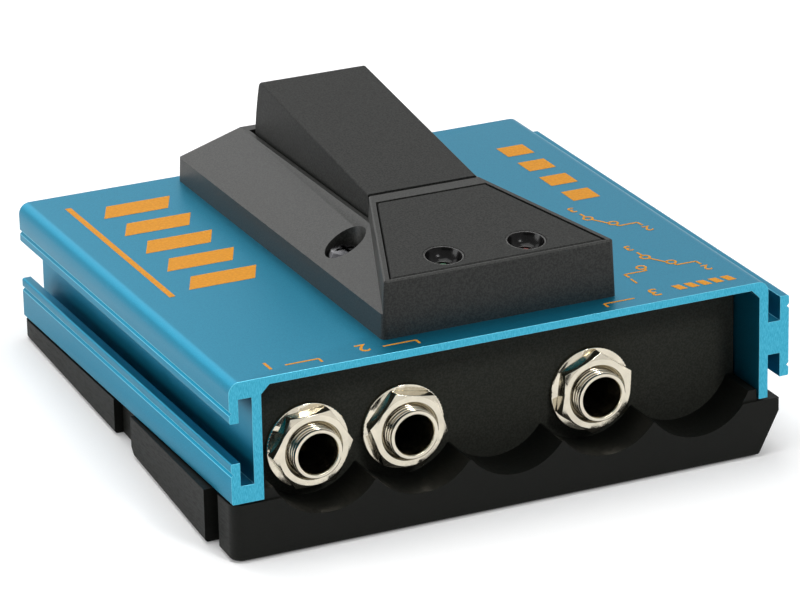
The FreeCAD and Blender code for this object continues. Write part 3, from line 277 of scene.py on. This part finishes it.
def plated(name, tone, rough):
    """Plated metal, a little uneven in tint and gloss."""
    f = Finish(name)
    fine = f.noise(0.5, 3.0, 0.6)
    tint = f.mix(f.ramp(f.noise(2.5, 2.0, 0.5), 0.3, 0.75), tone, shade(tone, 0.86))
    return f.done(Base_Color=tint, Metallic=1.0, Roughness=rough + 0.1 * f.ramp(fine, 0.35, 0.7),
                  Normal=f.bump(0.4 * fine, 0.006, 0.5))


def printed_orange():
    """Screen-printed ink, a little uneven."""
    f = Finish("ink_orange")
    mottle = f.noise(0.5, 3.0, 0.6)
    colour = f.mix(f.ramp(mottle, 0.3, 0.75), (0.47, 0.19, 0.012), (0.58, 0.25, 0.02))
    return f.done(Base_Color=colour, Roughness=0.55 + 0.1 * mottle, Specular_IOR_Level=0.15,
                  Normal=f.bump(mottle, 0.01, 0.4))


def lamp_glass(name, tone):
    """A tinted lamp body, seen dark in its well."""
    f = Finish(name)
    cloud = f.noise(0.9, 2.0, 0.5)
    colour = f.mix(f.ramp(cloud, 0.3, 0.7), tone, shade(tone, 0.7))
    return f.done(Base_Color=colour, Roughness=0.12 + 0.1 * cloud, Coat_Weight=0.5)


def plain_moulding(name, tone, rough, size=0.5, metallic=0.0):
    """A quiet finish for the cover's lighter rounded edges, which are partly a worn look and partly a painted
    edge highlight, and for pieces inside the device.
    """
    f = Finish(name)
    grain = f.noise(size, 3.0, 0.6)
    colour = f.mix(f.ramp(grain, 0.3, 0.7), shade(tone, 0.85), shade(tone, 1.15))
    return f.done(Base_Color=colour, Metallic=metallic, Roughness=rough + 0.1 * grain,
                  Normal=f.bump(grain, 0.02, 0.4))


def green_board():
    """Solder mask over copper tracks."""
    f = Finish("board_mask")
    track = f.node("ShaderNodeTexBrick", {"offset": 0.5},
                   {"Vector": f.place, "Scale": 0.35, "Mortar Size": 0.09, "Color1": (1, 1, 1, 1),
                    "Color2": (1, 1, 1, 1), "Mortar": (0, 0, 0, 1)}, output="Fac")
    colour = f.mix(track, (0.012, 0.13, 0.045), (0.03, 0.22, 0.075))
    return f.done(Base_Color=colour, Roughness=0.3 + 0.1 * f.noise(0.6), Normal=f.bump(track, 0.035, 0.6))


def open_foam():
    """Grey foam with open cells."""
    f = Finish("foam_grey")
    cells = f.spots(0.6)
    colour = f.mix(f.ramp(cells, 0.1, 0.6), (0.02, 0.02, 0.021), (0.07, 0.07, 0.072))
    return f.done(Base_Color=colour, Roughness=0.95, Normal=f.bump(cells, 0.2, 0.8))


def battery_jacket():
    """A bare metal jacket with a darker band."""
    f = Finish("battery_metal")
    band = f.ramp(abs(f.along("Y") - BATTERY_Y), 5.5, 5.8)
    brushed = f.noise(1.0, 3.0, 0.7, f.stretched((0.3, 9.0, 9.0)))
    colour = f.mix(band, (0.06, 0.06, 0.065), (0.3, 0.3, 0.32))
    return f.done(Base_Color=colour, Metallic=0.8, Roughness=0.35 + 0.15 * brushed,
                  Normal=f.bump(brushed, 0.01, 0.5))


COVER_FINISH = anodised_cover()
# Lighter blue for the cover's rounded edges: partly a worn look, partly a painted edge highlight.
COVER_EDGE_WEAR_AND_HIGHLIGHT = plain_moulding("anodised_edge_wear_and_highlight", (0.1, 0.42, 0.56), 0.3, 0.2, 0.7)
BASE_FINISH = rubber_black("base_black", (0.0052, 0.0056, 0.0045), 0.5, 0.125)
SOLE_FINISH = rubber_black("sole_black", (0.014, 0.014, 0.0135), 0.75)
PANEL_FINISH = moulded_black("panel_black", (0.027, 0.028, 0.0235), 0.6, 0.03, 0.3, 0.02, 0.3, 0.2)
HOUSING_FINISH = moulded_black("housing_black", (0.021, 0.0215, 0.02), 0.4, 0.21, spread=0.45)
PLATE_FINISH = moulded_black("plate_black", (0.0175, 0.018, 0.017), 0.5, 0.1, spread=0.5)
PEDAL_FINISH = moulded_black("pedal_black", (0.0175, 0.018, 0.017), 0.5, 0.1, spread=0.45)
# The bezel's own black, made darker than the other mouldings as painted shade in the well.
WELL_BLACK_AND_SHADE_FINISH = moulded_black("well_black_and_painted_shade", (0.003, 0.003, 0.003), 0.15, 0.12, 0.2, 0.005, 0.2)
# Lighter black for rounded edges: partly a worn look, partly a painted edge highlight.
WEAR_AND_HIGHLIGHT_FINISH = moulded_black("wear_and_highlight_black", (0.05, 0.05, 0.047), 0.4, 0.4, 0.3, 0.01, 0.3)
INK_FINISH = printed_orange()
NICKEL_FINISH = plated("nickel_plate", (0.66, 0.61, 0.5), 0.1)
STEEL_FINISH = plated("zinc_plate", (0.55, 0.55, 0.52), 0.28)
BRASS_FINISH = plated("brass_bright", (0.72, 0.53, 0.27), 0.24)
SCREW_FINISH = plated("screw_black", (0.075, 0.075, 0.08), 0.2)
BOARD_FINISH = green_board()
FOAM_FINISH = open_foam()
SWITCH_FINISH = plain_moulding("switch_blue", (0.015, 0.03, 0.07), 0.4)
BODY_FINISH = plain_moulding("jack_black", (0.02, 0.02, 0.02), 0.45)
JACKET_FINISH = battery_jacket()
BUMPER_FINISH = rubber_black("bumper_rubber", (0.03, 0.03, 0.03), 0.8)
GREEN_LAMP = lamp_glass("lamp_green", (0.05, 0.2, 0.09))
RED_LAMP = lamp_glass("lamp_red", (0.3, 0.05, 0.04))
LEAD_FINISH = plain_moulding("lead_red", (0.35, 0.02, 0.015), 0.4)


# Meshes

def link(name, mesh, finish):
    piece = bpy.data.objects.new(name, mesh)
    bpy.context.scene.collection.objects.link(piece)
    mesh.materials.clear()
    mesh.materials.append(finish)
    return piece


def evaluated_mesh(piece):
    bpy.context.view_layer.update()
    graph = bpy.context.evaluated_depsgraph_get()
    return bpy.data.meshes.new_from_object(piece.evaluated_get(graph), preserve_all_data_layers=True,
                                           depsgraph=graph)


def plain_mesh(piece):
    """Works the piece's modifiers into its mesh."""
    mesh = evaluated_mesh(piece)
    piece.modifiers.clear()
    piece.data = mesh


def soften(piece, width, segments=2, angle=28.0, wear_and_highlight=None):
    """Rounds every edge sharper than angle, as a mould or a tumbler leaves it.

    A lighter finish, where given, goes on the rounded edges alone: partly a worn look, partly a painted edge
    highlight.
    """
    bevel = piece.modifiers.new("edges", "BEVEL")
    if wear_and_highlight:
        piece.data.materials.append(wear_and_highlight)
        bevel.material = 1
    bevel.width = width * MM
    bevel.segments = segments
    bevel.limit_method = "ANGLE"
    bevel.angle_limit = math.radians(angle)
    bevel.harden_normals = True
    bevel.use_clamp_overlap = True
    cut = piece.modifiers.new("triangles", "TRIANGULATE")
    cut.min_vertices = 5
    cut.keep_custom_normals = True
    plain_mesh(piece)


def smooth(mesh, angle=30.0):
    mesh.shade_smooth()
    mesh.set_sharp_from_angle(angle=math.radians(angle))


def from_node(node, body, finish, width, segments=2, angle=28.0, wear_and_highlight=None):
    """A CAD node's shape with its edges softened."""
    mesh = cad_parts[node].data.copy()
    shape = bmesh.new()
    shape.from_mesh(mesh)
    bmesh.ops.remove_doubles(shape, verts=shape.verts, dist=0.002 * MM)
    bmesh.ops.dissolve_limit(shape, angle_limit=math.radians(0.4), verts=shape.verts, edges=shape.edges,
                             use_dissolve_boundaries=False)
    shape.to_mesh(mesh)
    shape.free()
    smooth(mesh, angle)
    piece = link(node + "_finished", mesh, finish)
    soften(piece, width, segments, angle, wear_and_highlight)
    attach(piece, body)
    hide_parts(node)
    return piece


def turned_mesh(name, outline, steps, centre, axis):
    """A turned shape from (radius, height) points round axis, from centre, on the device."""
    shape = bmesh.new()
    turn = Vector((0, 0, 1)).rotation_difference(Vector(axis)).to_matrix().to_4x4()
    place = Matrix.Translation(Vector(centre)) @ turn
    angles = [2 * math.pi * i / steps for i in range(steps)]
    rings = [[shape.verts.new(place @ Vector((radius * math.cos(a), radius * math.sin(a), height)))
              for a in angles] for radius, height in outline]
    for low, high in zip(rings, rings[1:] + rings[:1]):
        for i in range(steps):
            j = (i + 1) % steps
            shape.faces.new((low[i], low[j], high[j], high[i]))
    bmesh.ops.recalc_face_normals(shape, faces=shape.faces)
    mesh = to_mesh(name, shape)
    smooth(mesh)
    return mesh


def to_mesh(name, shape):
    """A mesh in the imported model's frame from a shape on the device."""
    shape.transform(DEVICE)
    mesh = bpy.data.meshes.new(name)
    shape.to_mesh(mesh)
    shape.free()
    return mesh


# Geometry Nodes

class Tree:
    """A geometry tree being made, with named inputs for its sizes."""

    def __init__(self, name):
        self.tree = bpy.data.node_groups.new(name, "GeometryNodeTree")
        self.tree.interface.new_socket("Geometry", in_out="INPUT", socket_type="NodeSocketGeometry")
        self.tree.interface.new_socket("Geometry", in_out="OUTPUT", socket_type="NodeSocketGeometry")
        self.given = self.tree.nodes.new("NodeGroupInput")
        self.result = self.tree.nodes.new("NodeGroupOutput")
        self.sizes = {}

    def size(self, name, value):
        socket = self.tree.interface.new_socket(name, in_out="INPUT", socket_type="NodeSocketFloat")
        self.sizes[socket.identifier] = value
        return self.given.outputs[name]

    def node(self, kind, settings=None, sockets=None):
        made = self.tree.nodes.new(kind)
        for key, setting in (settings or {}).items():
            setattr(made, key, setting)
        for key, given in (sockets or {}).items():
            if isinstance(given, bpy.types.NodeSocket):
                self.tree.links.new(given, made.inputs[key])
            else:
                made.inputs[key].default_value = given
        return made.outputs[0]

    def close(self, geometry, finish):
        real = self.node("GeometryNodeRealizeInstances", None, {0: geometry})
        painted = self.node("GeometryNodeSetMaterial", None, {0: real, "Material": finish})
        self.tree.links.new(painted, self.result.inputs[0])

    def grow(self, piece):
        """Turns the piece into what the tree makes."""
        modifier = piece.modifiers.new("grown", "NODES")
        modifier.node_group = self.tree
        for identifier, value in self.sizes.items():
            modifier[identifier] = value
        plain_mesh(piece)


def thread_tree(run, finish):
    """A ridge that winds round a barrel over a run of its length, for a screw thread."""
    t = Tree("thread")
    radius = t.size("Radius", BARREL_RADIUS - THREAD_RIDGE)
    turns = t.size("Turns", run / THREAD_PITCH)
    height = t.size("Height", run)
    ridge = t.size("Ridge", THREAD_RIDGE)
    spiral = t.node("GeometryNodeCurveSpiral", None,
                    {"Resolution": 48, "Rotations": turns, "Start Radius": radius, "End Radius": radius,
                     "Height": height})
    profile = t.node("GeometryNodeCurvePrimitiveCircle", {"mode": "RADIUS"}, {"Resolution": 4, "Radius": ridge})
    tube = t.node("GeometryNodeCurveToMesh", None, {"Curve": spiral, "Profile Curve": profile, "Fill Caps": True})
    t.close(tube, finish)
    return t


# Pieces

def make_barrel(place):
    """A threaded bushing: the tube with its chamfered mouth, its flange behind the panel, and its thread."""
    x = JACK_PLACES[place] * JACK_PITCH + JACK_SHIFT
    core = BARREL_RADIUS - 0.22
    flange = PANEL_BACK - BARREL_START
    flange_back = flange + FLANGE_THICKNESS
    length = flange + 4.0
    outline = [
        (SOCKET_RADIUS, length), (SOCKET_RADIUS, 0.34), (SOCKET_RADIUS + 0.05, 0.2), (SOCKET_RADIUS + 0.16, 0.06),
        (SOCKET_RADIUS + 0.32, 0.0), (BARREL_RADIUS - 0.42, 0.0), (BARREL_RADIUS - 0.3, 0.05),
        (core, 0.2), (core, flange), (FLANGE_RADIUS, flange), (FLANGE_RADIUS, flange_back), (core, flange_back),
        (core, length),
    ]
    mesh = turned_mesh("barrel", outline, 72, (x, BARREL_START, JACK_HEIGHT), (0, 1, 0))
    barrel = link("threaded_barrel_" + place, mesh, NICKEL_FINISH)
    soften(barrel, 0.06, 2, 40.0)
    wound = link("thread_" + place, bpy.data.meshes.new("thread"), NICKEL_FINISH)
    thread_tree(flange - 0.5, NICKEL_FINISH).grow(wound)
    turn = Matrix.Rotation(-math.pi / 2, 4, "X")
    wound.data.transform(DEVICE @ Matrix.Translation((x, BARREL_START + 0.4, JACK_HEIGHT)) @ turn)
    for piece in (barrel, wound):
        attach(piece, "case")
    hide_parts("jack_bushing_" + place)


def head_point(side):
    """Centre of an indicator's well on the head's sloping top, and the way it points down."""
    tilt = math.atan(HEAD_SLOPE)
    at = Vector((WELL_SHIFT + side * WELL_SPACING / 2, WELL_Y,
                 COVER_TOP + HEAD_NEAR_HEIGHT + (WELL_Y - HEAD_NEAR_Y) * HEAD_SLOPE))
    return at, Vector((0, math.sin(tilt), -math.cos(tilt)))


def make_indicator(side, name, lamp_finish):
    """A bezel with its well, open at the bottom for the lamp, and the lamp's finish."""
    at, down = head_point(side)
    opening = LAMP_RADIUS + 0.06
    outline = [
        (WELL_RADIUS - 0.28, 0.05), (WELL_RADIUS - 0.1, 0.0), (WELL_RADIUS, 0.12), (WELL_RADIUS, WELL_LENGTH),
        (opening, WELL_LENGTH), (opening, WELL_DEPTH), (LAMP_RADIUS + 0.5, WELL_DEPTH - 0.15),
        (WELL_RADIUS - 0.8, 1.3), (WELL_RADIUS - 0.45, 0.4),
    ]
    # The well's very dark finish is partly painted shade.
    well = link("indicator_bezel_" + name, turned_mesh("well", outline, 64, at, down), WELL_BLACK_AND_SHADE_FINISH)
    # The bezel's rounded rim gets the lighter edge finish: partly a worn look, partly a painted highlight.
    soften(well, 0.06, 2, 35.0, WEAR_AND_HIGHLIGHT_FINISH)
    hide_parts("indicator_well_" + name)
    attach(well, "case")
    paint("lamp_" + name, lamp_finish)


def make_spring():
    """The coil under the pedal, which shortens as the pedal is pressed."""
    coil = from_node("pedal_spring", "case", STEEL_FINISH, 0.02, 1, 60.0)
    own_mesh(coil)


def paint(node, finish):
    """Gives a CAD node its finish."""
    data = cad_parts[node].data
    data.materials.clear()
    data.materials.append(finish)


# Printed marks on the cover: plain bars, brackets, rings and numbers

def prism(shape, corners):
    """A flat mark with these (x, y) corners, standing a little proud of the cover."""
    top = [shape.verts.new((x, y, COVER_TOP + MARK_RISE)) for x, y in corners]
    low = [shape.verts.new((x, y, COVER_TOP - MARK_SINK)) for x, y in corners]
    shape.faces.new(top)
    shape.faces.new(low[::-1])
    for i in range(len(corners)):
        j = (i + 1) % len(corners)
        shape.faces.new((top[j], top[i], low[i], low[j]))


def bar(shape, x, y, width, height, lean=0.0):
    """A bar centred at x, y; lean moves its far side along X."""
    w, h = width / 2, height / 2
    prism(shape, [(x - w - lean / 2, y - h), (x + w - lean / 2, y - h), (x + w + lean / 2, y + h),
                  (x - w + lean / 2, y + h)])


def path(shape, *corners):
    """Straight strokes from corner to corner."""
    for start, end in zip(corners, corners[1:]):
        a, b = Vector(start), Vector(end)
        side = (b - a).normalized().orthogonal() * STROKE / 2
        prism(shape, [tuple(p) for p in (a - side, b - side, b + side, a + side)])


def ring(shape, x, y):
    """A small round outline."""
    inner, outer = RING_RADIUS - STROKE / 2, RING_RADIUS + STROKE / 2
    for i in range(RING_STEPS):
        a, b = 2 * math.pi * i / RING_STEPS, 2 * math.pi * (i + 1) / RING_STEPS
        prism(shape, [(x + radius * math.cos(angle), y + radius * math.sin(angle))
                      for radius, angle in ((inner, a), (outer, a), (outer, b), (inner, b))])


def number(shape, text, x, y, height):
    """A plain number that reads from the far side of the device."""
    data = bpy.data.curves.new("number", "FONT")
    data.body = text
    data.size = height / 0.7
    data.align_x = "CENTER"
    data.align_y = "CENTER"
    data.extrude = (MARK_RISE + MARK_SINK) / 2
    data.offset = 0.04
    data.resolution_u = 6
    piece = bpy.data.objects.new("number", data)
    bpy.context.scene.collection.objects.link(piece)
    mesh = evaluated_mesh(piece)
    bpy.data.objects.remove(piece)
    middle = COVER_TOP + (MARK_RISE - MARK_SINK) / 2
    mesh.transform(Matrix.Translation((x, y, middle)) @ Matrix.Rotation(math.pi, 4, "Z"))
    shape.from_mesh(mesh)
    bpy.data.meshes.remove(mesh)


def print_jack_marks(shape):
    """A bracket with a number at each jack."""
    for label, start, end, number_x in (
            ("1", -39.7, -33.8, -42.4), ("2", -22.4, -16.5, -25.6), ("3", 23.4, 17.8, 27.6)):
        path(shape, (start, 3.2), (end, 3.2), (end, 1.7))
        number(shape, label, number_x, 4.2, 3.0)


def print_bars(shape):
    """Rows of plain bars at both sides of the housing, and a small row near the right jack."""
    for i in range(5):
        bar(shape, 32.4 + i * 2.3, 4.2, 1.5, 2.2, -0.6)
    for i in range(5):
        bar(shape, -33.2, 44.0 + i * 9.6, 12.0, 5.6, 2.6)
    bar(shape, -44.2, 63.5, 1.1, 48.0)
    for i in range(4):
        bar(shape, 38.3, 52.0 + i * 8.6, 5.2, 5.0)


def print_switch_diagrams(shape):
    """Two switches drawn with rings and strokes; the nearer one has a third way."""
    for y in (40.5, 19.3):
        number(shape, "3", 33.3, y + 5.1, 2.2)
        path(shape, (33.7, y + 2.6), (33.8, y + 0.9))
        ring(shape, 33.9, y)
        path(shape, (34.3, y - 0.9), (36.0, y - 3.8))
        ring(shape, 36.7, y - 4.1)
        path(shape, (36.8, y - 5.0), (36.9, y - 5.7), (40.5, y - 5.7), (40.7, y - 7.3))
        number(shape, "2", 40.8, y - 9.0, 2.2)
    ring(shape, 31.0, 15.2)
    path(shape, (31.1, 14.3), (31.2, 13.6), (27.0, 13.6), (27.1, 12.0))
    number(shape, "1", 27.0, 10.3, 2.2)


def make_print():
    shape = bmesh.new()
    print_jack_marks(shape)
    print_bars(shape)
    print_switch_diagrams(shape)
    bmesh.ops.recalc_face_normals(shape, faces=shape.faces)
    piece = link("cover_marks", to_mesh("cover_marks", shape), INK_FINISH)
    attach(piece, "case")


def make_pieces():
    # The lighter finishes on the rounded edges of the cover, housing, plate and pedal are partly a worn look,
    # partly a painted edge highlight.
    from_node("top_cover", "case", COVER_FINISH, 0.1, wear_and_highlight=COVER_EDGE_WEAR_AND_HIGHLIGHT)
    from_node("base", "case", BASE_FINISH, 0.25)
    from_node("jack_panel", "case", PANEL_FINISH, 0.1)
    from_node("rear_panel", "case", PANEL_FINISH, 0.2)
    from_node("pedal_housing", "case", HOUSING_FINISH, 0.15, wear_and_highlight=WEAR_AND_HIGHLIGHT_FINISH)
    from_node("indicator_plate", "case", PLATE_FINISH, 0.1, wear_and_highlight=WEAR_AND_HIGHLIGHT_FINISH)
    from_node("pedal", "pedal", PEDAL_FINISH, 0.2, wear_and_highlight=WEAR_AND_HIGHLIGHT_FINISH)
    for node, slot, finish in (("jack_nuts", "nickel", NICKEL_FINISH), ("jack_washers", "nickel", NICKEL_FINISH),
                               ("housing_screws", "black_screw", SCREW_FINISH)):
        from_node(node, "case", finish, 0.08, 2, 20.0)
    for place in JACK_PLACES:
        make_barrel(place)
        paint("jack_body_" + place, BODY_FINISH)
        paint("tip_contact_" + place, BRASS_FINISH)
    make_indicator(-1, "left", GREEN_LAMP)
    make_indicator(1, "right", RED_LAMP)
    make_print()
    make_spring()
    for node, finish in (
            ("sole", SOLE_FINISH), ("indicator_board", BOARD_FINISH), ("indicator_pad", FOAM_FINISH),
            ("pedal_pin", STEEL_FINISH), ("bumpers", BUMPER_FINISH),
            ("foot_switch_body", SWITCH_FINISH), ("foot_switch_bush", NICKEL_FINISH),
            ("foot_switch_plunger", NICKEL_FINISH), ("foot_switch_washer", NICKEL_FINISH),
            ("foot_switch_nut", NICKEL_FINISH), ("foot_switch_terminals", BRASS_FINISH),
            ("housing_nuts", STEEL_FINISH), ("housing_rear_screws", STEEL_FINISH), ("pillars", BRASS_FINISH),
            ("pillar_top_screws", STEEL_FINISH), ("base_screws", SCREW_FINISH), ("battery", JACKET_FINISH),
            ("battery_snap", BODY_FINISH), ("battery_foam", FOAM_FINISH), ("circuit_board", BOARD_FINISH),
            ("board_screws", STEEL_FINISH), ("board_components", BODY_FINISH),
            ("battery_leads", LEAD_FINISH), ("indicator_leads", LEAD_FINISH), ("jack_leads", BODY_FINISH)):
        paint(node, finish)


make_pieces()


# Stage and light

def flat_mesh(name, corners):
    mesh = bpy.data.meshes.new(name)
    mesh.from_pydata(corners, [], [range(len(corners))])
    return mesh


def make_floor():
    """A plain pale floor. The camera sees it lifted to white where no shadow falls, and white far out."""
    f = Finish("floor_pale")
    x, y = f.along("X"), f.along("Y") - COVER_LENGTH / 2
    away = f.ramp((x * x + y * y) ** 0.5, 250.0, 900.0)
    lift = f.mix(away, (FLOOR_LIFT,) * 3, (1.0, 1.0, 1.0))
    seen = f.node("ShaderNodeLightPath", output="Is Camera Ray")
    for ray in ("Is Glossy Ray", "Is Transmission Ray"):
        seen = seen.highest(f.node("ShaderNodeLightPath", output=ray))
    finish = f.done(Base_Color=(0.88, 0.88, 0.88), Roughness=0.9, Specular_IOR_Level=0.1,
                    Emission_Color=lift, Emission_Strength=seen)
    reach = FLOOR_REACH
    corners = [(-reach, -reach, 0), (reach, -reach, 0), (reach, reach, 0), (-reach, reach, 0)]
    link("floor", flat_mesh("floor", corners), finish)


def make_card():
    """A dark card at the left of the camera, seen only in reflections."""
    corners = [(-1.5, -0.35, 0.0), (-0.15, -1.4, 0.0), (-0.15, -1.4, 0.5), (-1.5, -0.35, 0.5)]
    finish = rubber_black("card_black", (0.02, 0.02, 0.02), 0.9, 0.0)
    card = link("dark_card", flat_mesh("dark_card", corners), finish)
    card.visible_camera = False
    card.visible_diffuse = False
    card.visible_shadow = False
    card.visible_transmission = False


def make_world():
    """Even grey light from all round, white to the camera, in reflections and through clear pieces."""
    world = bpy.data.worlds.new("studio")
    bpy.context.scene.world = world
    world.use_nodes = True
    tree = world.node_tree
    rays = tree.nodes.new("ShaderNodeLightPath")
    seen = rays.outputs["Is Camera Ray"]
    for ray in ("Is Glossy Ray", "Is Transmission Ray"):
        either = tree.nodes.new("ShaderNodeMath")
        either.operation = "MAXIMUM"
        tree.links.new(seen, either.inputs[0])
        tree.links.new(rays.outputs[ray], either.inputs[1])
        seen = either.outputs[0]
    strength = tree.nodes.new("ShaderNodeMapRange")
    strength.inputs["To Min"].default_value = WORLD_LIGHT
    tree.links.new(seen, strength.inputs["Value"])
    tree.links.new(strength.outputs["Result"], tree.nodes["Background"].inputs["Strength"])
    tree.nodes["Background"].inputs["Color"].default_value = (1.0, 1.0, 1.0, 1.0)


def softbox(name, energy, width, height, location):
    """A rectangular light that points at the device."""
    data = bpy.data.lights.new(name, "AREA")
    data.energy = energy
    data.shape = "RECTANGLE"
    data.size = width
    data.size_y = height
    piece = bpy.data.objects.new(name, data)
    bpy.context.scene.collection.objects.link(piece)
    piece.location = location
    piece.rotation_euler = (Vector(LIGHT_TARGET) - Vector(location)).to_track_quat("-Z", "Y").to_euler()


make_floor()
make_card()
make_world()
softbox("overhead", 5.5, 0.6, 0.6, (0.0, 0.1, 0.8))
softbox("far_box", 9.0, 1.6, 1.0, (-0.4, 1.3, 0.85))
softbox("left_box", 5.4, 0.6, 0.4, (-1.0, 0.15, 0.25))
softbox("front_box", 6.5, 0.25, 0.25, (0.36, -0.9, 0.87))

bpy.context.scene.view_settings.view_transform = "Standard"
